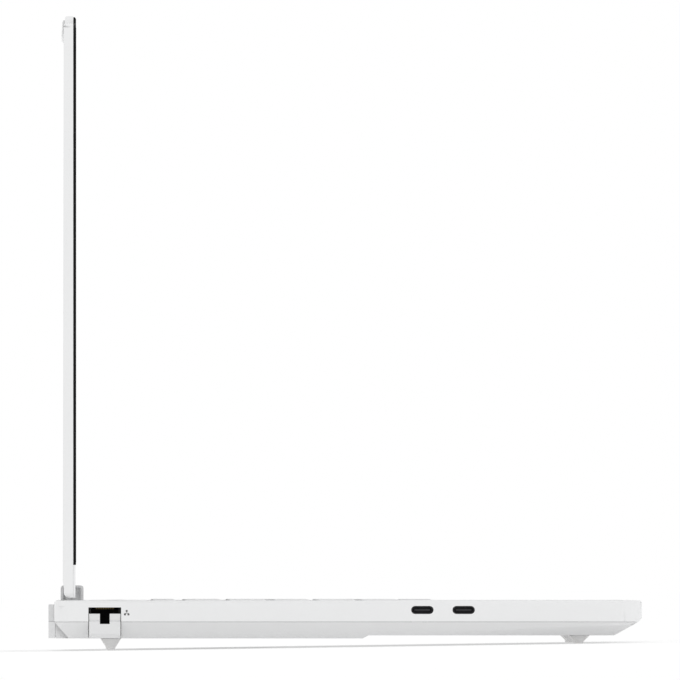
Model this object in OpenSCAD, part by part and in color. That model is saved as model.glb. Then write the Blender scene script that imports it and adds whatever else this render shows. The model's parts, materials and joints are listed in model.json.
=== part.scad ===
// Laptop computer: a clamshell base with keyboard, touchpad and side and rear sockets,
// and a lid with the screen, joined by two friction hinges.
// Shapes are drawn level, with z = 0 on the flat underside, x to the user's right and
// y towards the hinge. stance() then sets the machine on its feet, a little nose-down.

/* [Body] */
// Width of the base and of the lid
body_w = 345; // [343:0.5:350]
// Height of the deck above the underside
deck_z = 16.3; // [16.2:0.05:16.4]
// Height of the seam between the deck and the bottom cover
seam_z = 7.15; // [7:0.05:7.5]
// Wall thickness of the metal deck
wall = 1.5; // [1.3:0.1:1.6]
// Wall thickness of the plastic bottom cover
floor_wall = 1.2; // [1.0:0.1:1.3]
// Forward lean of the deck when the machine stands on its feet, in degrees
stance_angle = 0.83; // [0.6:0.01:1.0]

/* [Lid] */
// Height of the lid from the hinge axis to its top edge
lid_h = 244.4; // [243:0.1:246]
// How far the camera tab rises above the lid's top edge
camera_tab_h = 5; // [4.6:0.1:5]
// Width of the camera tab
camera_tab_w = 124; // [90:1:140]
// Width of the picture area
picture_w = 325.2; // [320:0.1:327]
// Height of the picture area
picture_h = 203.3; // [200:0.1:204]

/* [Keyboard] */
// Pitch of a letter key from left to right
key_pitch = 18.4; // [18.2:0.05:18.5]
// Pitch of the key rows from front to back
row_pitch = 19.05; // [18.9:0.05:19.1]
// Gap between neighbouring keycaps
key_gap = 3.3; // [3.1:0.1:3.5]
// How far a key goes down
key_travel = 1.5; // [1.2:0.1:1.5]

/* [Feet and cooling] */
// Depth of the rear foot below the underside
rear_foot_drop = 5.2; // [5:0.1:5.5]
// Number of blades on each fan
fan_blades = 27; // [15:1:31]
// Number of fins on each side of the cooler
fin_count = 26; // [12:1:28]

/* [Hidden] */
$fn = 48;

half_w = body_w / 2;
// Front face, rear face of the shell and rear face of the bumper
front_y = -127.25;
rear_y = 124.75;
bumper_y = 127.25;
plan_r_front = 10;
plan_r_rear = 8;
corner_steps = 8;
// Underside: the front half is higher than the rear half
step_z = 1.3;
step_y = -10;
step_run = 2.5;
side_slope = 8.6;
front_slope = 10.2;
rear_slope = 5.9;
side_chamfer = 0.3;
seam_gap = 0.1;
// Rear block that carries the exhaust and the rear sockets
block_w = 290;
block_top_z = 14.4;
vent_x = 96;
vent_w = 84;
// Feet
rear_foot_y = 100.5;
front_foot_y = -100.8;
foot_base = 9;
foot_tip = 3.4;
rear_foot_w = 296;
front_foot_w = 58;
front_foot_x = 112;
// The feet reach one plane, which leans by the stance angle
front_foot_drop = rear_foot_drop - (rear_foot_y - front_foot_y) * tan(stance_angle);
stance_lift = rear_foot_drop * cos(stance_angle) - rear_foot_y * sin(stance_angle);
stance_shift = 0.13;

// Hinge axis, and the lid's faces measured from it
axis_y = 117.3;
axis_z = 19.2;
bezel_face = 1.88;
bezel_t = 1.18;
chin_face = 1.63;
lid_back_low = 3.8;
lid_back_high = 3.4;
lid_bottom = -1.8;
lid_side_r = 9;
lid_corner_steps = 12;
chin_top = 12.3;
trough_y0 = 112.9;
trough_y1 = 121.7;
trough_z = 14.9;
cap_x0 = 108;
cap_x1 = 142.5;
cap_y0 = 112.2;
cap_y1 = 122;
cap_top = 22.65;
cap_wall = 1.3;
notch_x0 = 107.2;
notch_x1 = 146;
notch_h = 7;
shaft_r = 1.4;
shaft_fit = 0.05;
barrel_r = 2.35;
picture_bottom = 33.6;

// Keyboard
keycap_top = deck_z + 0.43;
keycap_t = 1.6;
well_depth = 1.2;
web_t = 0.8;
key_clear = 0.35;
key_left = -161;
main_w = 259;
pad_gap = 1.5;
pad_pitch = 15.375;
function_y = 77.7;
function_d = 9.9;
number_y = 61;
upper_y = number_y - row_pitch;
home_y = upper_y - row_pitch;
lower_y = home_y - row_pitch;
bottom_y = lower_y - row_pitch;
arrow_y = -32.2;
arrow_d = 14.5;
key_d = row_pitch - key_gap;
pad_x = key_left + main_w + pad_gap;
function_pitch = main_w / 16;
number_first = 13.4;
upper_first = 22.4;
home_first = 26.2;
lower_first = 36;
control_w = 24;
alt_w = 20;
right_control_w = 26.6;
space_w = main_w - control_w - 2 * alt_w - right_control_w - 3 * key_pitch;
plate_t = 0.5;
// What is left under a key that is pressed all the way
key_floor_gap = 0.33;
plate_z = keycap_top - keycap_t - key_travel - key_floor_gap - plate_t;

// Touchpad
pad_w = 120;
pad_d = 75;
pad_cx = -24;
pad_cy = -84;
pad_r = 4;
pad_t = 1;
pad_top = deck_z - 0.1;
power_y = 97;
power_r = 6.5;

// Sockets on the sides and at the rear
socket_z = 12.2;
usb_c_y = [-33, -50.7];
usb_c_w = 9.6;
usb_c_h = 3.45;
network_y = 103.1;
network_w = 13.5;
network_top = 13.3;
jaw_top = 10.6;
jaw_axis_x = 160;
jaw_axis_z = 3;
clip_w = 4.15;
clip_floor = 6.2;
audio_y = -58;
audio_r = 1.8;
audio_len = 14;
switch_y = -76;
switch_slot = 8;
switch_knob = 4.4;
side_usb_y = -38;
rear_z = 10.85;
rear_usb_x = [26, 44];
video_x = 0;
power_x = -28;

// Cooling and boards
fan_x = 100;
fan_y = 60;
fan_r = 38;
fan_z0 = 1.7;
fan_z1 = 11;
hub_r = 11;
board_z = 6.6;
board_t = 1.2;
screw_at = [
    [-153, 89], [153, 89], [-30, 92], [30, 92], [-153, -31], [153, -31],
    [-110, -109], [110, -109],
];

// ---------------------------------------------------------------- helpers

function arc(x, y, r, from, to, n) =
    [for (i = [0:n]) let (a = from + (to - from) * i / n) [x + r * cos(a), y + r * sin(a)]];

function rounded(x0, x1, y0, y1, r0, r1, n) = concat(
    arc(x1 - r1, y1 - r1, r1, 0, 90, n), arc(x0 + r1, y1 - r1, r1, 90, 180, n),
    arc(x0 + r0, y0 + r0, r0, 180, 270, n), arc(x1 - r0, y0 + r0, r0, 270, 360, n));

function total(list, count) = count <= 0 ? 0 : list[count - 1] + total(list, count - 1);

function same(value, count) = [for (i = [1:count]) value];
// Height of the underside, which steps up towards the front
function floor_z(y) = y < step_y ? step_z : 0;

module stance() {
    translate([0, stance_shift, stance_lift]) rotate([stance_angle, 0, 0]) children();
}

module block(x0, x1, y0, y1, z0, z1) {
    translate([x0, y0, z0]) cube([x1 - x0, y1 - y0, z1 - z0]);
}

module slab(x0, x1, y0, y1, z0, z1, r = 2, n = 4) {
    translate([0, 0, z0]) linear_extrude(z1 - z0) polygon(rounded(x0, x1, y0, y1, r, r, n));
}

// A (y, z) outline drawn out along x
module along_x(outline, x0, x1) {
    translate([x0, 0, 0]) rotate([90, 0, 90]) linear_extrude(x1 - x0) polygon(outline);
}

// An (x, z) outline drawn out along y
module along_y(outline, y0, y1) {
    translate([0, y1, 0]) rotate([90, 0, 0]) linear_extrude(y1 - y0) polygon(outline);
}

module rod_x(x0, x1, y, z, r) {
    translate([x0, y, z]) rotate([0, 90, 0]) cylinder(h = x1 - x0, r = r);
}

module rod_y(y0, y1, x, z, r) {
    translate([x, y0, z]) rotate([-90, 0, 0]) cylinder(h = y1 - y0, r = r);
}

module both_sides() {
    children();
    mirror([1, 0, 0]) children();
}

// ---------------------------------------------------------------- base shells

module base_plan(inset, z0, z1) {
    translate([0, 0, z0]) linear_extrude(z1 - z0)
        polygon(rounded(-half_w + inset, half_w - inset, front_y + inset, rear_y - inset,
            plan_r_front - inset, plan_r_rear - inset, corner_steps));
}

module deck_outside() {
    edge = 0.9;
    intersection() {
        base_plan(0, seam_z, deck_z);
        along_x([[front_y, seam_z + 1.6], [front_y, deck_z - edge], [front_y + edge, deck_z],
            [rear_y - edge, deck_z], [rear_y, deck_z - edge], [rear_y, seam_z + side_chamfer],
            [rear_y - side_chamfer, seam_z], [front_y + 1.6, seam_z]], -half_w, half_w);
        along_y([[-half_w, seam_z + side_chamfer], [-half_w, deck_z - edge],
            [-half_w + edge, deck_z], [half_w - edge, deck_z], [half_w, deck_z - edge],
            [half_w, seam_z + side_chamfer], [half_w - side_chamfer, seam_z],
            [-half_w + side_chamfer, seam_z]], front_y, rear_y);
    }
}

module key_run(x0, y, depth, widths, grow = 0) {
    for (i = [0:len(widths) - 1]) {
        left = x0 + total(widths, i) + key_gap / 2 - grow;
        right = x0 + total(widths, i + 1) - key_gap / 2 + grow;
        if (grow > 0)
            translate([left, y - depth / 2 - grow]) square([right - left, depth + 2 * grow]);
        else
            polygon(rounded(left, right, y - depth / 2, y + depth / 2, 1.3, 1.3, 3));
    }
}

module function_outline(grow = 0) {
    key_run(key_left, function_y, function_d, same(function_pitch, 16), grow);
    key_run(pad_x, function_y, function_d, same(pad_pitch, 4), grow);
}

module number_outline(grow = 0) {
    key_run(key_left, number_y, key_d, concat([number_first], same(key_pitch, 12)), grow);
}

module backspace_outline(grow = 0) {
    start = number_first + 12 * key_pitch;
    key_run(key_left + start, number_y, key_d, [main_w - start], grow);
}

module upper_outline(grow = 0) {
    last = main_w - upper_first - 12 * key_pitch;
    key_run(key_left, upper_y, key_d, concat([upper_first], same(key_pitch, 12), [last]), grow);
}

module home_outline(grow = 0) {
    key_run(key_left, home_y, key_d, concat([home_first], same(key_pitch, 11)), grow);
}

module enter_outline(grow = 0) {
    start = home_first + 11 * key_pitch;
    key_run(key_left + start, home_y, key_d, [main_w - start], grow);
}

module lower_outline(grow = 0) {
    key_run(key_left + lower_first, lower_y, key_d, same(key_pitch, 10), grow);
}

module left_shift_outline(grow = 0) {
    key_run(key_left, lower_y, key_d, [lower_first], grow);
}

module right_shift_outline(grow = 0) {
    start = lower_first + 10 * key_pitch;
    key_run(key_left + start, lower_y, key_d, [main_w - start], grow);
}

module bottom_outline(grow = 0) {
    left = [control_w, key_pitch, key_pitch, alt_w];
    key_run(key_left, bottom_y, key_d, left, grow);
    key_run(key_left + total(left, 4) + space_w, bottom_y, key_d, [alt_w, right_control_w], grow);
}

module space_outline(grow = 0) {
    key_run(key_left + control_w + 2 * key_pitch + alt_w, bottom_y, key_d, [space_w], grow);
}

module arrow_outline(grow = 0) {
    up = key_left + main_w - key_pitch;
    key_run(up, bottom_y, key_d, [key_pitch], grow);
    key_run(up - key_pitch, arrow_y, arrow_d, same(key_pitch, 3), grow);
}

module number_pad_outline(grow = 0) {
    key_run(pad_x, number_y, key_d, same(pad_pitch, 4), grow);
    for (y = [upper_y, home_y, lower_y]) key_run(pad_x, y, key_d, same(pad_pitch, 3), grow);
    key_run(pad_x, bottom_y, key_d, [2 * pad_pitch, pad_pitch], grow);
    key_run(pad_x + 3 * pad_pitch, (upper_y + home_y) / 2, key_d + row_pitch, [pad_pitch], grow);
}

module number_pad_enter_outline(grow = 0) {
    key_run(pad_x + 3 * pad_pitch, (lower_y + bottom_y) / 2, key_d + row_pitch, [pad_pitch], grow);
}

module all_key_outlines(grow) {
    function_outline(grow);
    number_outline(grow);
    backspace_outline(grow);
    upper_outline(grow);
    home_outline(grow);
    enter_outline(grow);
    lower_outline(grow);
    left_shift_outline(grow);
    right_shift_outline(grow);
    bottom_outline(grow);
    space_outline(grow);
    arrow_outline(grow);
    number_pad_outline(grow);
    number_pad_enter_outline(grow);
}

// The sunk field that the keys stand in, with its bay for the arrow keys
module key_well(grow, z0, z1) {
    margin = 1.2 + grow;
    right = -key_left + margin;
    arrow_left = key_left + main_w - 2 * key_pitch;
    low = bottom_y - key_d / 2 - margin;
    slab(-right, right, low, function_y + function_d / 2 + margin, z0, z1, 2.5 + grow);
    slab(arrow_left - margin, arrow_left + 3 * key_pitch + margin,
        arrow_y - arrow_d / 2 - margin, low + 8, z0, z1, 2.5 + grow);
}

module socket_cuts() {
    for (y = usb_c_y) stadium_x(-half_w - 1, -half_w + 3, y, socket_z, usb_c_w, usb_c_h);
    block(-half_w - 1, -half_w + 3, network_y - network_w / 2 - 0.25,
        network_y + network_w / 2 + 0.25, seam_z - 1, network_top);
    rod_x(half_w - 3, half_w + 1, audio_y, socket_z - 0.2, 3.1);
    stadium_x(half_w - 3, half_w + 1, switch_y, socket_z, switch_slot, 2.6);
    block(half_w - 3, half_w + 1, side_usb_y - 6.75, side_usb_y + 6.75, 8.4, 14.2);
}

// A slot-shaped bar along x with round ends, width along y
module stadium_x(x0, x1, y, z, w, h) {
    translate([x0, y, z]) rotate([90, 0, 90]) linear_extrude(x1 - x0)
        polygon(concat(arc(w / 2 - h / 2, 0, h / 2, -90, 90, 8),
            arc(-w / 2 + h / 2, 0, h / 2, 90, 270, 8)));
}

module top_deck() {
    color("#e9e9eb") difference() {
        union() {
            difference() {
                deck_outside();
                base_plan(wall, seam_z - 1, deck_z - wall + 0.3);
            }
            key_well(wall, deck_z - well_depth - web_t, deck_z - 0.1);
            block(-half_w + 1, half_w - 1, trough_y0 - 1.2, trough_y1 + 1.2, trough_z - 1, deck_z - 0.1);
            for (p = screw_at) translate([p[0], p[1], 4.2]) cylinder(h = 11, r = 2.2);
            slab(pad_cx - pad_w / 2 - 2, pad_cx + pad_w / 2 + 2, pad_cy - pad_d / 2 - 2,
                pad_cy + pad_d / 2 + 2, 14, 15.5, 5);
        }
        key_well(0, deck_z - well_depth, deck_z + 1);
        translate([0, 0, deck_z - 4]) linear_extrude(5) all_key_outlines(key_clear);
        // Trough that the lid's lower edge turns in
        block(-half_w + 1.2, half_w - 1.2, trough_y0, trough_y1, trough_z, deck_z + 1);
        both_sides() block(115, 139, 116.2, 118.4, trough_z - 2, trough_z + 1);
        slab(pad_cx - pad_w / 2 - 0.4, pad_cx + pad_w / 2 + 0.4, pad_cy - pad_d / 2 - 0.4,
            pad_cy + pad_d / 2 + 0.4, 13, deck_z + 1, pad_r + 0.4);
        translate([0, power_y, 13]) cylinder(h = 5, r = power_r + 0.3);
        for (p = screw_at) translate([p[0], p[1], 4]) cylinder(h = 7, r = 1);
        socket_cuts();
        block(-block_w / 2 - 0.3, block_w / 2 + 0.3, rear_y - 2, rear_y + 1, seam_z - 1, block_top_z + 0.1);
    }
}

module bottom_outside() {
    top = seam_z - seam_gap;
    intersection() {
        base_plan(side_chamfer + 0.1, 0, top);
        along_x([[front_y + 1.7, top], [front_y + 1.7 + front_slope, step_z], [step_y, step_z],
            [step_y + step_run, 0], [rear_y - side_chamfer - rear_slope, 0],
            [rear_y - side_chamfer - 0.1, top - 0.4], [rear_y - side_chamfer - 0.1, top]], -half_w, half_w);
        along_y([[-half_w + side_chamfer + 0.1, top], [-half_w + side_slope + side_chamfer, 0],
            [half_w - side_slope - side_chamfer, 0], [half_w - side_chamfer - 0.1, top]], front_y, rear_y);
    }
}

module bottom_inside() {
    t = floor_wall;
    intersection() {
        base_plan(side_chamfer + t, t, seam_z + 1);
        along_x([[front_y + 1.7 + 2 * t, seam_z + 1], [front_y + 1.7 + 1.6 * t, seam_z - 0.8 * t],
            [front_y + 1.7 + front_slope + 0.4 * t, step_z + t], [step_y + 0.5 * t, step_z + t],
            [step_y + step_run + 0.5 * t, t], [rear_y - side_chamfer - rear_slope - 0.6 * t, t],
            [rear_y - side_chamfer - 1.6 * t, seam_z - 0.4],
            [rear_y - side_chamfer - 1.6 * t, seam_z + 1]], -half_w, half_w);
        along_y([[-half_w + side_chamfer + 1.6 * t, seam_z + 1],
            [-half_w + side_chamfer + 1.6 * t, seam_z - 0.2 * t],
            [-half_w + side_slope + side_chamfer + 0.5 * t, t],
            [half_w - side_slope - side_chamfer - 0.5 * t, t],
            [half_w - side_chamfer - 1.6 * t, seam_z - 0.2 * t],
            [half_w - side_chamfer - 1.6 * t, seam_z + 1]], front_y, rear_y);
    }
}

// Rows of long slots, in columns, through the floor
module vent_field(x, y, cols, rows, slot_w, slot_d, pitch_x, pitch_y) {
    for (i = [0:cols - 1], j = [0:rows - 1])
        translate([x + (i - (cols - 1) / 2) * pitch_x - slot_w / 2,
            y + (j - (rows - 1) / 2) * pitch_y - slot_d / 2]) square([slot_w, slot_d]);
}

module exhaust_slots(y0, y1, z0, z1) {
    count = 18;
    for (side = [-1, 1], i = [0:count - 1]) {
        x = side * vent_x + (i - (count - 1) / 2) * vent_w / count;
        block(x - 1.6, x + 1.6, y0, y1, z0, z1);
    }
}

module bottom_cover() {
    wall_y = rear_y - 0.55;
    color("#d6d6d8") difference() {
        union() {
            difference() {
                bottom_outside();
                bottom_inside();
            }
            difference() {
                block(-block_w / 2, block_w / 2, 114, wall_y, 0, seam_z - 0.05);
                block(-block_w / 2 + floor_wall, block_w / 2 - floor_wall, 113, wall_y - floor_wall,
                    floor_wall, seam_z + 1);
            }
            // Rims around the screw holes
            for (p = screw_at) translate([p[0], p[1], floor_z(p[1]) + 0.5])
                cylinder(h = 3.5 - floor_z(p[1]), r = 3.4);
        }
        block(-block_w / 2 + floor_wall, block_w / 2 - floor_wall, 112, wall_y - floor_wall,
            floor_wall, seam_z + 1);
        exhaust_slots(wall_y - 3, wall_y + 1, 1.9, 6.4);
        translate([0, 0, -1]) linear_extrude(5) {
            for (side = [-1, 1]) vent_field(side * fan_x, fan_y, 2, 15, 30, 1.7, 33, 4);
            for (side = [-1, 1]) vent_field(side * 143, -85, 1, 7, 14, 1.5, 20, 4);
            vent_field(0, 48, 3, 9, 20, 1.7, 24, 4);
        }
        for (p = screw_at) translate([p[0], p[1], -1]) {
            cylinder(h = 6, r = 1.15);
            cylinder(h = 1 + floor_z(p[1]) + 1.1, r = 2.4);
        }
        // Bay of the network socket's jaw, open below and to the side
        block(-half_w - 1, -jaw_axis_x + 3.2, network_y - network_w / 2 - 0.25,
            network_y + network_w / 2 + 0.25, -1, seam_z + 1);
    }
}

module rear_bumper_top() {
    color("#cfcfd1") difference() {
        along_y([[-block_w / 2, seam_z + 0.05], [-block_w / 2, block_top_z - 0.8],
            [-block_w / 2 + 0.8, block_top_z], [block_w / 2 - 0.8, block_top_z],
            [block_w / 2, block_top_z - 0.8], [block_w / 2, seam_z + 0.05]], 123.1, bumper_y);
        exhaust_slots(122, bumper_y + 1, 8.4, 13.2);
        for (x = rear_usb_x) block(x - 6.75, x + 6.75, 122, bumper_y + 1, rear_z - 3, rear_z + 3);
        block(video_x - 7.7, video_x + 7.7, 122, bumper_y + 1, rear_z - 3, rear_z + 3);
        block(power_x - 5.8, power_x + 5.8, 122, bumper_y + 1, rear_z - 2.7, rear_z + 2.7);
    }
}

module rear_bumper_bottom() {
    color("#eeeef0") difference() {
        along_y([[-block_w / 2, seam_z - 0.05], [-block_w / 2, 0.9], [-block_w / 2 + 0.8, 0.05],
            [block_w / 2 - 0.8, 0.05], [block_w / 2, 0.9], [block_w / 2, seam_z - 0.05]],
            rear_y - 0.35, bumper_y);
        exhaust_slots(120, bumper_y + 1, 1.9, 6.4);
    }
}

// ---------------------------------------------------------------- feet and screws

module foot(y, base_z, drop, w) {
    along_x([[y - foot_base / 2, base_z], [y + foot_base / 2, base_z],
        [y + foot_tip / 2 + 0.2, -drop + 1.1], [y + foot_tip / 2, -drop - 1],
        [y - foot_tip / 2, -drop - 1], [y - foot_tip / 2 - 0.2, -drop + 1.1]], -w / 2, w / 2);
}

// Cuts what lies under the table's surface
module above_table() {
    difference() {
        stance() children();
        translate([-300, -200, -20]) cube([600, 400, 20]);
    }
}

module rear_foot() {
    color("#c9c9cb") foot(rear_foot_y, 0, rear_foot_drop, rear_foot_w);
}

module front_feet() {
    color("#c9c9cb") both_sides()
        translate([front_foot_x, 0, 0]) foot(front_foot_y, step_z, front_foot_drop, front_foot_w);
}

module bottom_screws() {
    color("#b5b6b8") for (p = screw_at)
        translate([p[0], p[1], floor_z(p[1]) + 0.2]) difference() {
            union() {
                cylinder(h = 0.9, r = 2.1);
                cylinder(h = 7, r = 1);
            }
            translate([0, 0, -1]) cylinder(h = 1.5, r = 0.9, $fn = 6);
        }
}

// ---------------------------------------------------------------- keyboard and touchpad

module keycaps() {
    color("#f2f2f3") translate([0, 0, keycap_top - keycap_t]) linear_extrude(keycap_t) children();
}

module keyboard_plate() {
    color("#3a3b3d") difference() {
        key_well(0.9, plate_z, deck_z - well_depth - web_t);
        key_well(-0.6, plate_z + plate_t, deck_z);
    }
}

module touchpad_bracket() {
    x0 = pad_cx - pad_w / 2;
    color("#a9abae") difference() {
        slab(x0 + 2, x0 + pad_w - 2, pad_cy - pad_d / 2 + 2, pad_cy + pad_d / 2 - 2, 12.6, 13.4, 3);
        slab(x0 + 12, x0 + pad_w - 12, pad_cy - 20, pad_cy + 24, 12, 14, 3);
    }
    color("#a9abae") translate([pad_cx, pad_cy - pad_d / 2 + 8, 13.4]) cylinder(h = 0.9, r = 2.2);
}

module touchpad() {
    color("#e4e4e6") slab(pad_cx - pad_w / 2, pad_cx + pad_w / 2, pad_cy - pad_d / 2,
        pad_cy + pad_d / 2, pad_top - pad_t, pad_top, pad_r, 8);
}

module power_button() {
    color("#f0f0f1") translate([0, power_y, deck_z - 2.1]) {
        cylinder(h = 2.2, r = power_r);
        cylinder(h = 0.8, r = power_r + 1.2);
    }
}

// ---------------------------------------------------------------- boards and cooling

module motherboard() {
    color("#1f4034") difference() {
        union() {
            block(-150, 150, -35, 108, board_z, board_z + board_t);
            block(-40, 52.5, 108, 121, board_z, board_z + board_t);
        }
        both_sides() block(fan_x - 43, 151, fan_y - 43, 109, board_z - 1, board_z + 3);
        for (p = screw_at) translate([p[0], p[1], board_z - 1]) cylinder(h = 4, r = 2.6);
    }
}

module board_chips() {
    top = board_z + board_t;
    color("#26282b") {
        block(-34, -8, 26, 50, top, top + 1.2);
        block(10, 40, 24, 54, top, top + 1.2);
        for (i = [0:3]) block(4 + i * 12, 12 + i * 12, 60, 70, top, top + 1);
        for (i = [0:2]) block(46, 52, 24 + i * 11, 33 + i * 11, top, top + 1);
        for (i = [0:6]) block(-38 + i * 7.5, -33 + i * 7.5, 74, 79, top, top + 2.4);
    }
}

// Copper plates on the chips and three flat pipes that run out to the fins
module heat_pipes() {
    z = board_z + board_t + 1.2;
    color("#b87348") union() {
        block(-38, 44, 23, 56, z, z + 0.8);
        for (i = [0:2]) {
            y = 26 + i * 10;
            block(-50, 50, y, y + 7, z + 0.8, z + 3);
        }
        both_sides() {
            block(43, 50, 26, 106, z + 0.8, z + 3);
            block(43, 138, 105.5, 112, z + 0.8, z + 3);
        }
    }
}

module cooling_fins() {
    color("#b9bcc0") both_sides() union() {
        block(vent_x - vent_w / 2, vent_x + vent_w / 2, 105.5, 121.5, 1.7, 2.3);
        for (i = [0:fin_count - 1]) {
            x = vent_x - vent_w / 2 + 0.4 + i * (vent_w - 1.4) / (fin_count - 1);
            block(x, x + 0.6, 112.3, 121.5, 2.2, 11.8);
        }
    }
}

module fan_housing() {
    outer = fan_r + 3;
    intake_r = fan_r - 8;
    color("#2b2c2f") translate([fan_x, fan_y, 0]) {
        difference() {
            union() {
                translate([0, 0, fan_z0]) cylinder(h = fan_z1 - fan_z0, r = outer);
                block(-outer, outer, 0, outer, fan_z0, fan_z1);
            }
            translate([0, 0, fan_z0 + 0.8]) cylinder(h = fan_z1 - fan_z0 - 1.6, r = fan_r + 1.6);
            block(-outer + 1.4, outer - 1.4, 0, outer + 1, fan_z0 + 0.8, fan_z1 - 0.8);
            translate([0, 0, fan_z0 - 1]) cylinder(h = 14, r = intake_r);
        }
        // Motor plate on three arms, with the shaft that the rotor turns on
        translate([0, 0, fan_z0]) cylinder(h = 0.8, r = hub_r - 1);
        for (a = [30:120:270]) rotate([0, 0, a]) block(0, intake_r + 1, -2, 2, fan_z0, fan_z0 + 0.8);
        translate([0, 0, fan_z0]) cylinder(h = 6.8, r = 1.2);
    }
}

module fan_rotor() {
    z0 = fan_z0 + 1.3;
    color("#3b3d41") translate([fan_x, fan_y, z0]) difference() {
        union() {
            cylinder(h = 6.4, r = hub_r);
            for (i = [0:fan_blades - 1]) rotate([0, 0, i * 360 / fan_blades])
                translate([hub_r - 1, -0.35, 0.6]) rotate([0, 0, 18]) cube([fan_r - hub_r - 2.2, 0.7, 5.6]);
        }
        translate([0, 0, -1]) cylinder(h = 6.8, r = 1.25);
    }
}

module battery_pack() {
    color("#1c1d1f") for (i = [0:3]) block(-124 + i * 62.4, -63.2 + i * 62.4, -100, -39, 2.7, 9.2);
    color("#1c1d1f") block(-124, 124, -38.8, -36, 2.7, 8.6);
}

module solid_state_drives() {
    z = board_z + board_t;
    color("#24563f") both_sides() {
        block(58, 138, -30, -8, z + 1.2, z + 2);
        block(64, 78, -27, -11, z + 2, z + 3.2);
        block(88, 126, -27, -11, z + 2, z + 3.2);
        block(54, 58, -31, -7, z, z + 3);
    }
}

module memory_modules() {
    z = board_z + board_t;
    color("#24563f") for (y = [-32.5, -4.5]) {
        block(-34, 34, y, y + 25, z + 1.4, z + 2.4);
        for (i = [0:3]) block(-30 + i * 16, -18 + i * 16, y + 8, y + 21, z + 2.4, z + 3.4);
        block(-36, 36, y - 1.6, y, z, z + 3.2);
    }
}

module wireless_card() {
    z = board_z + board_t;
    color("#24563f") {
        block(-86, -56, -2, 12, z + 1.2, z + 2);
        block(-84, -66, -1, 11, z + 2, z + 3.2);
        block(-56, -53, -3, 13, z, z + 2.6);
    }
}

module speakers() {
    color("#2a2b2e") both_sides() difference() {
        slab(131, 157, -100, -60, 2.7, 9, 3);
        slab(136, 151, -95, -74, 2, 4.2, 3);
    }
}

// ---------------------------------------------------------------- sockets

module network_socket() {
    half = network_w / 2 + 0.3;
    back = -150.5;
    color("#161617") translate([0, network_y, 0]) difference() {
        union() {
            block(-half_w + wall + 0.1, back, -half - 1.6, half + 1.6, seam_z + 0.1, network_top + 0.5);
            block(-165, back, -half - 1.6, half + 1.6, 3.8, seam_z + 0.2);
            // Cheeks that hold the jaw's pivots
            block(-jaw_axis_x - 3, back, -half - 1.6, half + 1.6, 1.6, 3.9);
        }
        // Cavity of the plug, the channel of its clip, and the room that the jaw turns in
        block(-half_w, -152.5, -5.95, 5.95, 6.6, network_top);
        block(-half_w, -154, -clip_w / 2, clip_w / 2, 5.2, 7);
        block(-half_w, -jaw_axis_x + 3.2, -half, half, 1, seam_z);
        block(-half_w, -169, -half, half, 1, jaw_top + 0.3);
        rod_y(-half - 1.2, half + 1.2, -jaw_axis_x, jaw_axis_z, 1.05);
    }
}

// The eight contact springs under the roof of the cavity
module network_contacts() {
    pitch = 1.016;
    color("#c9a85a") for (i = [0:7])
        translate([0, network_y + (i - 3.5) * pitch, 0])
            block(-168, -152.5, -0.25, 0.25, network_top - 0.7, network_top);
}

module network_jaw() {
    y0 = network_y - network_w / 2;
    y1 = network_y + network_w / 2;
    face = half_w;
    color("#e0e0e2") difference() {
        union() {
            // The face leans in below the slot and has a small ledge at the seam's height
            along_y([[-face, jaw_top], [-face + 1.1, 7.5], [-face + 0.4, 7.1], [-face + 0.7, 1.9],
                [-face + 2.2, 0.1], [-face + 11.5, 0.1], [-face + 11.5, 1.3], [-face + 3.2, 1.3],
                [-face + 2.2, 2.6], [-face + 2.2, jaw_top]], y0, y1);
            for (y = [y0, y1 - 0.7])
                block(-face + 1.6, -jaw_axis_x + 1.8, y, y + 0.7, 0.1, 5.2);
            rod_y(y0 - 1, y0 + 0.7, -jaw_axis_x, jaw_axis_z, 1);
            rod_y(y1 - 0.7, y1 + 1, -jaw_axis_x, jaw_axis_z, 1);
        }
        block(-face - 1, -face + 4, network_y - clip_w / 2, network_y + clip_w / 2, clip_floor, jaw_top + 1);
    }
}

module usb_c_sockets() {
    for (y = usb_c_y) {
        color("#2e2f31") difference() {
            stadium_x(-half_w + 0.7, -164, y, socket_z, 8.94, 3.16);
            stadium_x(-half_w, -165, y, socket_z, 8.34, 2.56);
        }
        color("#2e2f31") block(-half_w + 1.2, -165, y - 3.34, y + 3.34, socket_z - 0.35, socket_z + 0.35);
        color("#2e2f31") block(-168, -163, y - 4, y + 4, board_z + board_t, socket_z - 1.7);
    }
}

module usb_a_shell(tongue_side) {
    difference() {
        block(-6.55, 6.55, 0, 13, -2.85, 2.85);
        block(-6.2, 6.2, 2, 14, -2.5, 2.5);
    }
    block(-5.5, 5.5, 1, 11.5, tongue_side * 1.35 - 0.92, tongue_side * 1.35 + 0.92);
}

module usb_a_sockets() {
    color("#26282b") for (x = rear_usb_x) translate([x, bumper_y - 13.4, rear_z]) usb_a_shell(1);
    color("#26282b") translate([half_w - 13.4, side_usb_y, 11.3]) rotate([0, 0, -90]) usb_a_shell(1);
}

module video_socket() {
    color("#26282b") translate([video_x, bumper_y - 13.4, rear_z]) {
        difference() {
            along_y([[-7.3, 2.6], [-7.3, -0.6], [-5.4, -2.6], [5.4, -2.6], [7.3, -0.6], [7.3, 2.6]], 0, 13);
            along_y([[-6.95, 2.25], [-6.95, -0.45], [-5.2, -2.25], [5.2, -2.25], [6.95, -0.45],
                [6.95, 2.25]], 2, 14);
        }
        block(-5, 5, 1, 11, -0.1, 0.8);
    }
}

module power_socket() {
    color("#26282b") translate([power_x, bumper_y - 13.4, rear_z]) {
        difference() {
            block(-5.6, 5.6, 0, 13, -2.5, 2.5);
            block(-5.2, 5.2, 2, 14, -2.1, 2.1);
        }
        rod_y(1, 11, 0, 0, 0.6);
    }
}

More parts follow.
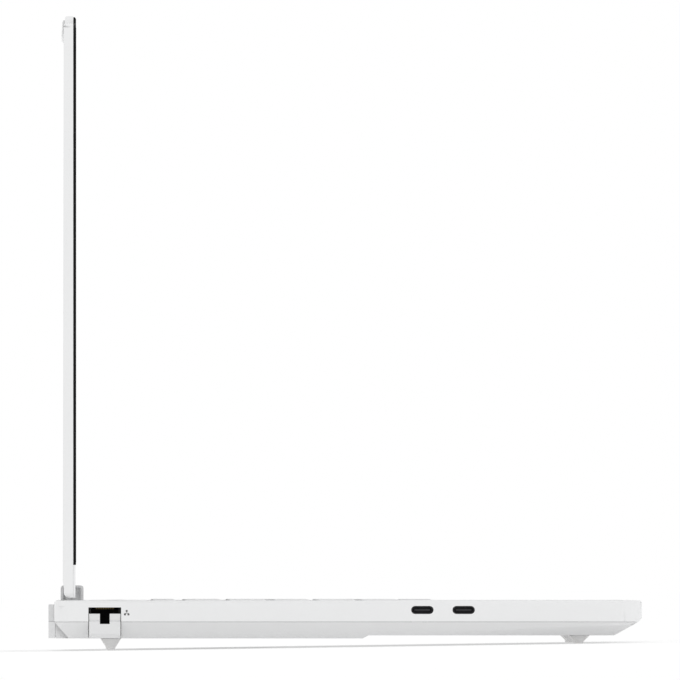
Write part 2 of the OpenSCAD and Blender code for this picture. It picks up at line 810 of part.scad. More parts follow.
module audio_socket() {
    x1 = half_w;
    color("#26282b") difference() {
        union() {
            block(x1 - audio_len - 1.4, x1 - wall - 0.2, audio_y - 3.4, audio_y + 3.4, 8.6, 15);
            rod_x(x1 - 3, x1 - 0.05, audio_y, socket_z - 0.2, 2.9);
        }
        rod_x(x1 - audio_len - 0.05, x1 + 1, audio_y, socket_z - 0.2, audio_r);
    }
}

module camera_switch() {
    color("#2b2c2f") {
        y = switch_y - (switch_slot - switch_knob) / 2 + 0.2;
        stadium_x(half_w - 2, half_w - 0.3, y, socket_z, switch_knob, 2);
        block(half_w - 3, half_w - 1.9, y - 7, y + 7, socket_z - 1.9, socket_z + 1.9);
    }
}

// ---------------------------------------------------------------- hinges

module hinge_cap() {
    r = 1.1;
    roof = axis_z + barrel_r + 0.15;
    color("#c4c4c6") difference() {
        along_x(concat([[cap_y0, trough_z], [cap_y0, cap_top - r]],
            arc(cap_y0 + r, cap_top - r, r, 180, 90, 5),
            arc(cap_y1 - r, cap_top - r, r, 90, 0, 5), [[cap_y1, trough_z]]), cap_x0, cap_x1);
        block(cap_x0 + cap_wall, cap_x1 - 2.2, cap_y0 + cap_wall, cap_y1 - cap_wall, trough_z - 1, roof);
        // The end wall is set back behind a rim, and lets the shaft through
        block(cap_x1 - 1, cap_x1 + 1, cap_y0 + cap_wall, cap_y1 - cap_wall, trough_z - 1, roof);
        rod_x(cap_x1 - 3, cap_x1, axis_y, axis_z, shaft_r + 0.3);
        // Feet of the cap stand inside the trough
        block(cap_x0 - 1, cap_x1 + 1, cap_y0 - 1, trough_y0 + 0.05, trough_z - 1, deck_z + 0.05);
        block(cap_x0 - 1, cap_x1 + 1, trough_y1 - 0.05, cap_y1 + 1, trough_z - 1, deck_z + 0.05);
    }
}

module hinge_bracket() {
    color("#9b9da0") difference() {
        union() {
            rod_x(114, 140, axis_y, axis_z, barrel_r);
            block(116, 138, axis_y - 0.7, axis_y + 0.7, 12.6, axis_z - 1.6);
            block(113, 141, 97, axis_y + 0.7, 12.6, 13.8);
        }
        rod_x(113, 141, axis_y, axis_z, shaft_r + shaft_fit);
        for (x = [118, 136], y = [101, 109]) translate([x, y, 11]) cylinder(h = 4, r = 1.1);
    }
}

module hinge_shafts() {
    color("#b4b6b9") both_sides() rod_x(110.9, 145.4, axis_y, axis_z, shaft_r);
}

module hinge_washers() {
    color("#8f9194") both_sides() difference() {
        union() {
            for (i = [0:2]) rod_x(112.4 + i * 0.5, 112.75 + i * 0.5, axis_y, axis_z, 2.2);
            translate([111, axis_y, axis_z]) rotate([0, 90, 0]) cylinder(h = 1.35, r = 2.3, $fn = 6);
        }
        rod_x(110, 115, axis_y, axis_z, shaft_r);
    }
}

module hinge_arms() {
    color("#9b9da0") both_sides() difference() {
        union() {
            rod_x(143.4, 145.4, axis_y, axis_z, 2);
            block(143.4, 145.4, axis_y - 0.65, axis_y + 1.9, axis_z, axis_z + 10);
            block(118, 145.4, axis_y + 0.7, axis_y + 1.9, axis_z + notch_h + 1.3, axis_z + 44);
        }
        rod_x(143, 146, axis_y, axis_z, shaft_r);
        for (z = [16, 28, 40]) rod_y(axis_y - 1, axis_y + 3, 124, axis_z + z, 1.1);
    }
}

// ---------------------------------------------------------------- lid

// Outline of the lid seen from the front, with the camera tab on its top edge
function lid_outline(inset, bottom, top, tab) = concat(
    [[half_w - inset - 1.4, axis_z + bottom], [half_w - inset, axis_z + bottom + 1.8]],
    arc(half_w - lid_side_r, axis_z + top - lid_side_r, lid_side_r - inset, 0, 90, lid_corner_steps),
    tab <= 0 ? [] : [[camera_tab_w / 2 + 4 - inset, axis_z + top - inset],
        [camera_tab_w / 2 - inset, axis_z + top + tab - inset],
        [-camera_tab_w / 2 + inset, axis_z + top + tab - inset],
        [-camera_tab_w / 2 - 4 + inset, axis_z + top - inset]],
    arc(-half_w + lid_side_r, axis_z + top - lid_side_r, lid_side_r - inset, 90, 180,
        lid_corner_steps),
    [[-half_w + inset, axis_z + bottom + 1.8], [-half_w + inset + 1.4, axis_z + bottom]]);

module hinge_notches() {
    both_sides() block(notch_x0, notch_x1, axis_y - 10, axis_y + 10, axis_z - 3, axis_z + notch_h);
}

module lid_cover() {
    face = axis_y - bezel_face + bezel_t;
    high = axis_z + lid_h;
    color("#ececee") difference() {
        union() {
            intersection() {
                along_y(lid_outline(0, lid_bottom, lid_h, camera_tab_h), face, axis_y + 6);
                // The lower edge is drawn in, so that it clears the deck's side rims as the lid leans back
                along_x([[face, axis_z + lid_bottom], [axis_y + lid_back_low - 1.7, axis_z + lid_bottom],
                    [axis_y + lid_back_low - 0.5, axis_z + lid_bottom + 1.4],
                    [axis_y + lid_back_low - 0.4, axis_z + lid_bottom + 5],
                    [axis_y + lid_back_low, axis_z + lid_bottom + 7],
                    [axis_y + lid_back_high, high - 1.5], [axis_y + lid_back_high - 0.5, high + 2.9],
                    [axis_y + lid_back_high - 0.5, high + camera_tab_h - 0.6],
                    [axis_y + lid_back_high - 1.1, high + camera_tab_h], [face, high + camera_tab_h]],
                    -half_w, half_w);
            }
            // Raised housing of the camera on the back of the lid
            intersection() {
                along_y([[-camera_tab_w / 2 - 6, high - 4.6], [camera_tab_w / 2 + 6, high - 4.6],
                    [camera_tab_w / 2, high + 3.2], [-camera_tab_w / 2, high + 3.2]], axis_y, axis_y + 6);
                along_x([[axis_y, high - 4.6], [axis_y + lid_back_high, high - 4.6],
                    [axis_y + 4.4, high - 3.8], [axis_y + 4.1, high + 2.2], [axis_y + 3.7, high + 3.2],
                    [axis_y, high + 3.2]], -half_w, half_w);
            }
        }
        along_y(lid_outline(1.3, lid_bottom + 1.6, lid_h - 0.2, 0), face - 1, axis_y + 2.1);
        block(-44, 44, face - 1, axis_y + 2.1, high - 3, high + 1.6);
        hinge_notches();
    }
}

module screen_bezel() {
    y0 = axis_y - bezel_face;
    color("#1d1d1f") difference() {
        intersection() {
            along_y(lid_outline(0, chin_top - 3.2, lid_h, camera_tab_h - 0.3), y0, y0 + bezel_t - 0.02);
            along_x([[y0, axis_z + chin_top + 0.1], [y0, axis_z + lid_h + 3.8],
                [y0 + 0.5, axis_z + lid_h + 4.6], [y0 + bezel_t, axis_z + lid_h + 4.6],
                [y0 + bezel_t, axis_z + chin_top + 0.1]], -half_w, half_w);
        }
        block(-picture_w / 2, picture_w / 2, y0 - 1, y0 + 3, axis_z + picture_bottom,
            axis_z + picture_bottom + picture_h);
        rod_y(y0 - 1, y0 + 3, 0, axis_z + lid_h - 1.2, 1.7);
    }
}

module lid_chin() {
    y0 = axis_y - chin_face;
    color("#e6e6e8") difference() {
        intersection() {
            along_y(lid_outline(0, lid_bottom, lid_h, 0), y0, axis_y - bezel_face + bezel_t - 0.02);
            block(-half_w, half_w, y0 - 1, y0 + 2, axis_z + lid_bottom, axis_z + chin_top);
        }
        hinge_notches();
    }
}

module display_panel() {
    y0 = axis_y - bezel_face + bezel_t;
    color("#101114") block(-picture_w / 2 - 2.5, picture_w / 2 + 2.5, y0, y0 + 1.35,
        axis_z + picture_bottom - 6, axis_z + picture_bottom + picture_h + 2);
}

module camera_board() {
    y0 = axis_y - bezel_face + bezel_t;
    color("#24563f") block(-42, 42, y0 + 0.9, y0 + 1.7, axis_z + lid_h - 2.8, axis_z + lid_h + 1.2);
    color("#202124") rod_y(y0, y0 + 0.9, 0, axis_z + lid_h - 1.2, 1.55);
}

module camera_lens() {
    y0 = axis_y - bezel_face;
    color("#0b0d14") rod_y(y0 + 0.15, y0 + bezel_t, 0, axis_z + lid_h - 1.2, 1.65);
}

// Flat cable from the panel's lower edge to the left hinge
module display_cable() {
    y = axis_y + 0.5;
    color("#222326") union() {
        block(-104, -12, y, y + 0.5, axis_z + 9, axis_z + 15);
        block(-20, -12, y, y + 0.5, axis_z + 9, axis_z + 26.8);
        block(-106, -98, y, y + 0.5, axis_z + 1.2, axis_z + 15);
    }
}

// ---------------------------------------------------------------- one line per node

stance() bottom_cover();
stance() top_deck();
stance() rear_bumper_top();
stance() rear_bumper_bottom();
stance() mirror([1, 0, 0]) hinge_cap();  // hinge_cap_left
stance() hinge_cap();  // hinge_cap_right
stance() both_sides() hinge_bracket();  // hinge_brackets
above_table() rear_foot();
above_table() front_feet();
stance() bottom_screws();
stance() keyboard_plate();
stance() touchpad_bracket();
stance() motherboard();
stance() board_chips();
stance() heat_pipes();
stance() cooling_fins();
stance() both_sides() fan_housing();  // fan_housings
stance() mirror([1, 0, 0]) fan_rotor();  // fan_rotor_left
stance() fan_rotor();  // fan_rotor_right
stance() battery_pack();
stance() solid_state_drives();
stance() memory_modules();
stance() wireless_card();
stance() speakers();
stance() network_socket();
stance() network_contacts();
stance() network_jaw();
stance() usb_c_sockets();
stance() usb_a_sockets();
stance() video_socket();
stance() power_socket();
stance() audio_socket();
stance() camera_switch();
stance() power_button();
stance() touchpad();
stance() lid_cover();
stance() screen_bezel();
stance() lid_chin();
stance() display_panel();
stance() camera_board();
stance() camera_lens();
stance() hinge_arms();
stance() hinge_shafts();
stance() hinge_washers();
stance() display_cable();
stance() keycaps() function_outline();  // keys_function_row
stance() keycaps() number_outline();  // keys_number_row
stance() keycaps() backspace_outline();  // backspace_key
stance() keycaps() upper_outline();  // keys_upper_row
stance() keycaps() home_outline();  // keys_home_row
stance() keycaps() enter_outline();  // enter_key
stance() keycaps() lower_outline();  // keys_lower_row
stance() keycaps() left_shift_outline();  // shift_key_left
stance() keycaps() right_shift_outline();  // shift_key_right
stance() keycaps() bottom_outline();  // keys_bottom_row
stance() keycaps() space_outline();  // space_bar
stance() keycaps() arrow_outline();  // arrow_keys
stance() keycaps() number_pad_outline();  // number_pad_keys
stance() keycaps() number_pad_enter_outline();  // number_pad_enter_key
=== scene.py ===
# %% [markdown]
# # The looks of a white clamshell laptop
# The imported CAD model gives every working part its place. This lesson lays the finishes over it
# and adds what a machine shop drawing leaves out: soft edges, dished keycaps with their legends,
# the screen's film and rim, and the small printed marks.

# %% Load the frame
import json
import math
import bmesh
import bpy
from mathutils import Matrix, Vector


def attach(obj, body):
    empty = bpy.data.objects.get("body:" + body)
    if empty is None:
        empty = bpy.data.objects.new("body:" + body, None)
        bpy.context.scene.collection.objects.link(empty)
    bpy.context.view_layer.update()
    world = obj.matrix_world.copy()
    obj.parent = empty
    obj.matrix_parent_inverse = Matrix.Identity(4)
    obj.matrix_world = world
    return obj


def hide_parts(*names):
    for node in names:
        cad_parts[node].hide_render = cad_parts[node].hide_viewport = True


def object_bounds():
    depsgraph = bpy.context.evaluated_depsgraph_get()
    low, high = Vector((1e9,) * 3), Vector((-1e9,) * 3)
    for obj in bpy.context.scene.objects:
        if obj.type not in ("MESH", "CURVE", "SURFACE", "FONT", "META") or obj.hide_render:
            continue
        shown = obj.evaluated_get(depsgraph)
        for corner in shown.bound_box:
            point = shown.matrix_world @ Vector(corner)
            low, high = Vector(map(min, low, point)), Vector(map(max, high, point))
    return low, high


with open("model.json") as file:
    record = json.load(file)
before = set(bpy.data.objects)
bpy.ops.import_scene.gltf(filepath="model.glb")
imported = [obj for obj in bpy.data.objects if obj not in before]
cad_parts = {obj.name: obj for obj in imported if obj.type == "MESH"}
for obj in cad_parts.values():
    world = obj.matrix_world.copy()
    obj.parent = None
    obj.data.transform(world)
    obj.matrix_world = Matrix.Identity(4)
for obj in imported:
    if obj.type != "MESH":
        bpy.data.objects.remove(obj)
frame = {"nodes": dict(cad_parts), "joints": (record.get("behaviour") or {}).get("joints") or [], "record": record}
cad_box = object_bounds()
MM = 0.001

# %% [markdown]
# ## A level bench
# The machine leans a little to the front on its feet. Drawing on a tilted deck is awkward, so every
# new piece is drawn on a level bench, with the lid's hinge axis as the origin, and is then stood up
# by one matrix. The lean comes from the direction in which the space bar goes down.

# %% The bench and its matrix
joint = {j["name"]: j for j in frame["joints"]}
down = joint["space_bar_press"]["axis"]
lean = math.atan2(down[1], -down[2])
STAND = Matrix.Translation(joint["lid_hinge"]["pos_m"]) @ Matrix.Rotation(lean, 4, "X")
LEVEL = STAND.inverted()
print("the deck leans", round(math.degrees(lean), 3), "degrees")


def level_box(node):
    """Lowest and highest corner of a CAD node, on the level bench."""
    points = [LEVEL @ v.co for v in frame["nodes"][node].data.vertices]
    low = Vector([min(p[i] for p in points) for i in range(3)])
    high = Vector([max(p[i] for p in points) for i in range(3)])
    return low, high


deck_low, deck_high = level_box("top_deck")
print("deck", [round(v / MM, 2) for v in deck_high - deck_low], "mm")

# %% [markdown]
# ## Shader sums as plain Python
# A finish is a small tree of nodes. Wrapping an output socket in a class with arithmetic keeps the
# sums readable: `0.4 + 0.1 * grain` adds two Math nodes. Colours go through Mix nodes instead,
# because a Math node would turn them grey.


# %% Sockets with arithmetic
class Value:
    """An output socket that Python operators can do sums with."""

    def __init__(self, finish, socket):
        self.finish, self.socket = finish, socket

    def sum(self, operation, first, second):
        return self.finish.node("ShaderNodeMath", {"operation": operation}, {0: first, 1: second})

    def __add__(self, other):
        return self.sum("ADD", self, other)

    __radd__ = __add__

    def __mul__(self, other):
        return self.sum("MULTIPLY", self, other)

    __rmul__ = __mul__

    def __gt__(self, other):
        return self.sum("GREATER_THAN", self, other)


class Finish:
    """A material, built node by node."""

    def __init__(self, name):
        self.material = bpy.data.materials.new(name)
        self.material.use_nodes = True
        self.tree = self.material.node_tree
        self.tree.nodes.clear()

    def node(self, kind, settings=None, sockets=None, output=0):
        made = self.tree.nodes.new(kind)
        for key, value in (settings or {}).items():
            setattr(made, key, value)
        for key, value in (sockets or {}).items():
            if isinstance(value, Value):
                self.tree.links.new(value.socket, made.inputs[key])
            else:
                made.inputs[key].default_value = value
        return Value(self, made.outputs[output]) if made.outputs else made

    def place(self):
        return self.node("ShaderNodeTexCoord", output="Object")

    def stretched(self, scale):
        return self.node("ShaderNodeMapping", {}, {"Vector": self.place(), "Scale": scale})

    def noise(self, scale, detail=2.0, where=None):
        sockets = {"Vector": where or self.place(), "Scale": scale, "Detail": detail}
        return self.node("ShaderNodeTexNoise", {}, sockets)

    def mix(self, factor, first, second):
        made = {"data_type": "RGBA", "clamp_factor": True}
        return self.node("ShaderNodeMix", made, {0: factor, 6: first, 7: second}, output=2)

    def bump(self, height, strength, distance):
        sockets = {"Height": height, "Strength": strength, "Distance": distance}
        return self.node("ShaderNodeBump", {}, sockets)

    def surface(self, **sockets):
        named = {key.replace("_", " "): value for key, value in sockets.items()}
        shader = self.node("ShaderNodeBsdfPrincipled", {}, named)
        self.node("ShaderNodeOutputMaterial", {}, {"Surface": shader})
        return self.material


def grey(level, warm=0.0):
    """A linear grey, a touch warmer or cooler."""
    return (level * (1 + warm), level, level * (1 - warm), 1)


# %% [markdown]
# ## Moulded and painted plastic
# The shells are white with a fine, even grain from the tool's spark-eroded surface, and large soft
# drifts of tone where hands and light have been. Two noises do this: one with features of a
# few centimetres for tone and gloss, and one of a fraction of a millimetre for the grain.


# %% Plastic finishes
PAINT_WARMTH = -0.004
PATCH_SCALE = 28
SPECK_SHARE, SPECK_SHADE = 0.12, 0.9
GRAIN_DEPTH = 0.25  # of the grain's size


def moulded(name, level, rough=0.42, grain_mm=0.25, grain=0.12, drift=0.02, shine=0.5):
    """Grained plastic: lightness, roughness, grain size and strength, drift of tone, and shine."""
    f = Finish(name)
    patches = f.noise(PATCH_SCALE, 3)
    grains = f.noise(1 / (grain_mm * MM), 1)
    tone = f.mix(patches, grey(level * (1 - drift), PAINT_WARMTH),
                 grey(level * (1 + drift), PAINT_WARMTH))
    speckled = f.mix(grains * SPECK_SHARE, tone, grey(level * SPECK_SHADE, PAINT_WARMTH))
    normal = f.bump(grains, grain, grain_mm * MM * GRAIN_DEPTH)
    return f.surface(Base_Color=speckled, Roughness=rough - 0.05 + 0.1 * patches, Normal=normal,
                     Specular_IOR_Level=shine)


shell_white = moulded("satin_white_shell", 0.81, rough=0.38, grain_mm=0.2, grain=0.08)
# Painted shade: the underside's white is set lower than the shell's, to stand in for the shade under the machine;
# its coarser, duller grain is its own.
underside_white_painted_shade = moulded("grained_white_underside_painted_shade", 0.75, rough=0.55, grain_mm=0.5, grain=0.3)
trim_grey = moulded("fine_grey_trim", 0.72, rough=0.5, grain_mm=0.35, grain=0.2)
keycap_white = moulded("matt_white_keycap", 0.82, rough=0.5, grain_mm=0.3, grain=0.12)
# Painted shade: the jaw is the shell's white plastic, set darker to stand in for the shade on its facets.
jaw_white_painted_shade = moulded("satin_white_jaw_painted_shade", 0.74, rough=0.42, grain_mm=0.2, grain=0.08)
touch_white = moulded("silky_touch_surface", 0.76, rough=0.3, grain_mm=0.15, grain=0.03)
bezel_black = moulded("matt_black_bezel", 0.005, rough=0.5, grain_mm=0.3, grain=0.2, drift=0.1,
                      shine=0.1)
plain_black = moulded("black_moulding", 0.012, rough=0.55, grain_mm=0.4, grain=0.2, drift=0.1,
                      shine=0.15)
ink_grey = moulded("grey_printing_ink", 0.1, rough=0.6, grain_mm=0.1, grain=0.1, drift=0.04)
battery_film = moulded("black_battery_film", 0.015, rough=0.3, grain_mm=0.8, grain=0.1, drift=0.2)
print("plastics from", shell_white.name, "to", battery_film.name)

# %% [markdown]
# ## Rubber, metals and boards
# Rubber is duller and pitted. The metals are drawn or plated, so their noise is stretched along the
# sheet. The boards are green laminate, where a cell pattern gives the look of copper tracks. The
# screen's film and the lens are dark, with a faint haze and a very fine sparkle.


# %% Rubber, metals, boards and glass
def rubber(name, level):
    f = Finish(name)
    pits = f.noise(1800, 2)
    dust = f.noise(60, 4)
    colour = f.mix(dust * 0.5, grey(level), grey(level * 1.15, 0.02))
    return f.surface(Base_Color=colour, Roughness=0.75 + 0.15 * dust, Normal=f.bump(pits, 0.4, 0.0002))


def drawn_metal(name, colour, rough, stretch=(30, 1200, 1200)):
    f = Finish(name)
    lines = f.noise(1.0, 3, where=f.stretched(stretch))
    shade = tuple(c * 0.8 for c in colour[:3]) + (1,)
    return f.surface(Base_Color=f.mix(lines, shade, colour), Metallic=1.0,
                     Roughness=rough - 0.08 + 0.16 * lines, Normal=f.bump(lines, 0.2, 0.00005))


def laminate(name):
    f = Finish(name)
    cells = f.node("ShaderNodeTexVoronoi", {"feature": "DISTANCE_TO_EDGE", "distance": "CHEBYCHEV"},
                   {"Vector": f.place(), "Scale": 400.0})
    track = cells > 0.12
    colour = f.mix(track, (0.02, 0.10, 0.06, 1), (0.012, 0.055, 0.036, 1))
    return f.surface(Base_Color=colour, Roughness=0.35 + 0.1 * track, Normal=f.bump(track, 0.3, 0.00003))


def dark_glass(name, level, rough, coat, shine):
    f = Finish(name)
    haze = f.noise(12, 3)
    sparkle = f.noise(6000, 0)
    colour = f.mix(haze, grey(level, -0.08), grey(level * 1.6, -0.16))
    return f.surface(Base_Color=colour, Roughness=rough + 0.05 * haze, Coat_Weight=coat,
                     Specular_IOR_Level=shine, Normal=f.bump(sparkle, 0.04, 0.00005))


# Painted light: the feet are light grey rubber, set lighter than the shell's white to make up for the shade under
# the base.
foot_rubber_painted_light = rubber("light_grey_rubber_painted_light", 0.90)
rim_rubber = rubber("black_rubber_rim", 0.02)
plain_steel = drawn_metal("drawn_steel", (0.56, 0.57, 0.58, 1), 0.35)
plated_dark = drawn_metal("dark_plated_steel", (0.05, 0.05, 0.053, 1), 0.4)
gold_plate = drawn_metal("gold_plated_spring", (0.16, 0.12, 0.06, 1), 0.4)
copper = drawn_metal("flattened_copper", (0.80, 0.42, 0.26, 1), 0.3)
fin_metal = drawn_metal("fin_aluminium", (0.75, 0.76, 0.78, 1), 0.3, (1200, 1200, 60))
green_board = laminate("green_laminate")
screen_film = dark_glass("anti_glare_film", 0.006, 0.28, 0.0, 0.2)
lens_glass = dark_glass("camera_lens_glass", 0.004, 0.05, 1.0, 0.5)
print("others from", foot_rubber_painted_light.name, "to", lens_glass.name)

# %% [markdown]
# ## Dressing the CAD parts
# Most hidden parts keep their CAD shape and only need a finish. The record already groups the
# nodes by material slot, so one table from slot to finish dresses them all.

# %% Finishes by slot
SLOT_FINISH = {
    "white_shell": shell_white, "white_underside": underside_white_painted_shade, "grey_trim": trim_grey,
    "keycap_white": keycap_white, "black_bezel": bezel_black, "black_plastic": plain_black,
    "screen_glass": screen_film, "lens_glass": lens_glass, "touch_surface": touch_white,
    "grey_rubber": foot_rubber_painted_light, "hinge_steel": plain_steel, "socket_metal": plated_dark,
    "contact_gold": gold_plate, "copper_pipe": copper, "fin_aluminium": fin_metal,
    "circuit_board": green_board, "battery_wrap": battery_film,
}
slot_of = {part["node"]: part["material_slot"] for part in frame["record"]["subparts"]}
body_of = {node: body for body, nodes in frame["record"]["behaviour"]["bodies"].items()
           for node in nodes}
for node, part in frame["nodes"].items():
    part.data.materials.clear()
    part.data.materials.append(SLOT_FINISH[slot_of[node]])
print(len(frame["nodes"]), "CAD nodes dressed")

# %% [markdown]
# ## The camera
# The machine is looked at square to its left side from far away, so that neither the face nor the
# back of the lid shows. The camera is level with the deck, which leans, so it is rolled by the lean.

# %% Camera
sensor_mm = 36
lens_mm = 1690
picture_width = 0.2914
side_x = cad_box[0].x
distance = picture_width * lens_mm / sensor_mm
middle_y, middle_z = -0.1150, 0.1087
eye_y, eye_z = 0.0, 0.007
aim = STAND @ Vector((side_x, middle_y, middle_z))
eye = STAND @ Vector((side_x - distance, eye_y, eye_z))
camera_data = bpy.data.cameras.new("side_camera")
camera_data.lens = lens_mm
camera_data.sensor_width = sensor_mm
camera_data.clip_start = 0.1
camera_data.clip_end = 100
camera = bpy.data.objects.new("side_camera", camera_data)
bpy.context.scene.collection.objects.link(camera)
sight = (eye - aim).normalized()
deck_up = STAND.to_3x3() @ Vector((0, 0, 1))
right = deck_up.cross(sight).normalized()
upright = sight.cross(right)
turn = Matrix((right, upright, sight)).transposed().to_4x4()
camera.matrix_world = Matrix.Translation(eye) @ turn
bpy.context.scene.camera = camera
print("the camera stands", round(distance, 2), "m away")

# %% [markdown]
# ## Making a piece
# Every new piece is a bmesh drawn on the bench. This helper stands it up, smooths the faces that
# meet at a shallow angle, gives it a finish, and lets it ride on its body.


# %% From a bmesh to a piece
SMOOTH_BELOW = math.radians(35)
SHARP_ABOVE = math.radians(28)
ROOM = 2.5  # bevel widths that the shortest neighbouring edge must have
MERGE = 0.002 * MM
FLAT_WITHIN = math.radians(0.3)


def make_piece(name, bm, body, finish, instead_of=()):
    """Stands a bench drawing up as a piece that rides on a body."""
    print(name, len(bm.faces), "faces")
    bm.transform(STAND)
    mesh = bpy.data.meshes.new(name)
    bm.to_mesh(mesh)
    bm.free()
    mesh.shade_smooth()
    mesh.set_sharp_from_angle(angle=SMOOTH_BELOW)
    mesh.materials.append(finish)
    piece = bpy.data.objects.new(name, mesh)
    bpy.context.scene.collection.objects.link(piece)
    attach(piece, body)
    even = piece.modifiers.new("even_shading", "WEIGHTED_NORMAL")
    even.keep_sharp = True
    if instead_of:
        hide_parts(*instead_of)


def bench_copy(node):
    """A CAD node's mesh on the bench, merged, with its flat faces whole."""
    bm = bmesh.new()
    bm.from_mesh(frame["nodes"][node].data)
    bmesh.ops.remove_doubles(bm, verts=bm.verts, dist=MERGE)
    bm.transform(LEVEL)
    bmesh.ops.dissolve_limit(bm, angle_limit=FLAT_WITHIN, verts=bm.verts, edges=bm.edges)
    return bm


def soften(bm, width):
    """Rounds the sharp outer edges that have room for it at both of their ends."""
    sharp = [e for e in bm.edges if len(e.link_faces) == 2 and e.is_convex
             and e.calc_face_angle() > SHARP_ABOVE
             and min(near.calc_length() for v in e.verts for near in v.link_edges) > ROOM * width]
    bmesh.ops.bevel(bm, geom=sharp, offset=width, offset_type="OFFSET", segments=2,
                    profile=0.5, affect="EDGES", clamp_overlap=True, material=-1)
    return len(sharp)


# %% [markdown]
# ## Keycaps
# A laptop's keycap is a shallow moulding: upright walls with rounded corners, a rounded shoulder, and
# a top that dips by about a tenth of a millimetre to centre the finger. The CAD model has plain
# blocks. Each cap is a cube on its block's place with its four posts bevelled, and its top face is
# then inset ring by ring, each ring scaled to its distance from the rim and set to its depth.

# %% One cap
# Each ring of the top: millimetres in from the rim, and depth below the highest ring
RINGS = ((0.0, 0.42), (0.14, 0.14), (0.42, 0.0), (1.7, 0.07), (3.5, 0.13))
CAP_CORNER = 1.3 * MM
FIRST_INSET = 0.01 * MM
LEAST_SPAN = 0.5 * MM
ROW_BAND_MM = 4  # caps whose rear edges lie in one band are one row


def key_blocks(node):
    """The boxes of the separate blocks in a key node, by row from the back and then from the left."""
    bm = bench_copy(node)
    left, boxes = set(bm.verts), []
    while left:
        front = [left.pop()]
        block = list(front)
        while front:
            near = {e.other_vert(v) for v in front for e in v.link_edges} & left
            left -= near
            front = list(near)
            block += front
        boxes.append([Vector([pick(v.co[i] for v in block) for i in range(3)])
                      for pick in (min, max)])
    bm.free()
    return sorted(boxes, key=lambda box: (-round(box[1].y / MM / ROW_BAND_MM), box[0].x))


def add_cap(row, low, high):
    """Adds one dished cap, which fills the box from low to high, to the row."""
    cap = bmesh.new()
    middle, size = (low + high) / 2, high - low
    bmesh.ops.create_cube(cap, size=1.0, matrix=Matrix.Translation(middle)
                          @ Matrix.Diagonal((*size, 1)))
    posts = [e for e in cap.edges if abs(e.verts[0].co.z - e.verts[1].co.z) > size.z / 2]
    bmesh.ops.bevel(cap, geom=posts, offset=CAP_CORNER, offset_type="OFFSET", segments=4, profile=0.5,
                    affect="EDGES", clamp_overlap=True, material=-1)
    top = max(cap.faces, key=lambda face: face.calc_center_median().z)
    reach = size.copy()
    for inset, depth in RINGS:
        if inset:
            bmesh.ops.inset_individual(cap, faces=[top], thickness=FIRST_INSET)
            reach = Vector([max(v.co[i] for v in top.verts) - min(v.co[i] for v in top.verts)
                            for i in range(2)] + [1])
        wanted = [max(size[i] - 2 * inset * MM, LEAST_SPAN) / reach[i] for i in range(2)]
        bmesh.ops.scale(cap, vec=(*wanted, 1), space=Matrix.Translation(-middle), verts=top.verts)
        for v in top.verts:
            v.co.z = high.z - depth * MM
    mesh = bpy.data.meshes.new("cap")
    cap.to_mesh(mesh)
    cap.free()
    row.from_mesh(mesh)
    bpy.data.meshes.remove(mesh)


def cap_depth(point, low, high):
    """How far the cap's surface lies below its rim at a point."""
    inset = min(point.x - low.x, high.x - point.x, point.y - low.y, high.y - point.y) / MM
    for (near, shallow), (far, deep) in zip(RINGS, RINGS[1:]):
        if inset < far:
            return (shallow + (deep - shallow) * max(inset - near, 0) / (far - near)) * MM
    return RINGS[-1][1] * MM


# %% [markdown]
# ## Legends
# The legends are generic letters and signs, printed in grey. Each is a text curve with a
# hair's thickness, made a mesh, and laid on its cap: every point drops by the depth of the dish
# under it, so that the ink follows the curve of the key.

# %% Legend lettering
INK_HALF = 0.05 * MM  # half the ink's thickness
INK_SUNK = 0.6  # of that half, which leaves the rest proud of the cap


def letters(text, size):
    """A word as a thin closed mesh, with its lower left corner at the origin."""
    curve = bpy.data.curves.new("legend", "FONT")
    curve.body = text
    curve.size = size * MM
    curve.resolution_u = 4
    curve.extrude = INK_HALF
    holder = bpy.data.objects.new("legend", curve)
    bpy.context.scene.collection.objects.link(holder)
    solid = holder.evaluated_get(bpy.context.evaluated_depsgraph_get())
    mesh = bpy.data.meshes.new_from_object(solid)
    bpy.data.objects.remove(holder)
    bpy.data.curves.remove(curve)
    bm = bmesh.new()
    bm.from_mesh(mesh)
    bpy.data.meshes.remove(mesh)
    bmesh.ops.remove_doubles(bm, verts=bm.verts, dist=0.001 * MM)
    corner = Vector([min(v.co.x for v in bm.verts), min(v.co.y for v in bm.verts), 0])
    bmesh.ops.translate(bm, vec=-corner, verts=bm.verts)
    return bm


def add_legend(ink, text, size, box, across, along):
    """Prints a word on a key: across and along are its corner's place from the left and the front."""
    low, high = box
    word = letters(text, size)
    for v in word.verts:
        v.co += Vector((low.x + across * MM, low.y + along * MM, high.z - INK_HALF * INK_SUNK))
        v.co.z -= cap_depth(v.co, low, high)
    mesh = bpy.data.meshes.new("word")
    word.to_mesh(mesh)
    word.free()
    ink.from_mesh(mesh)
    bpy.data.meshes.remove(mesh)


# %% [markdown]
# ## The keyboard
# Each CAD key node is a row, or one large key, with a body of its own. The words are listed in the
# order of the keys. A pair such as `1!` is a digit with its shifted sign above it.

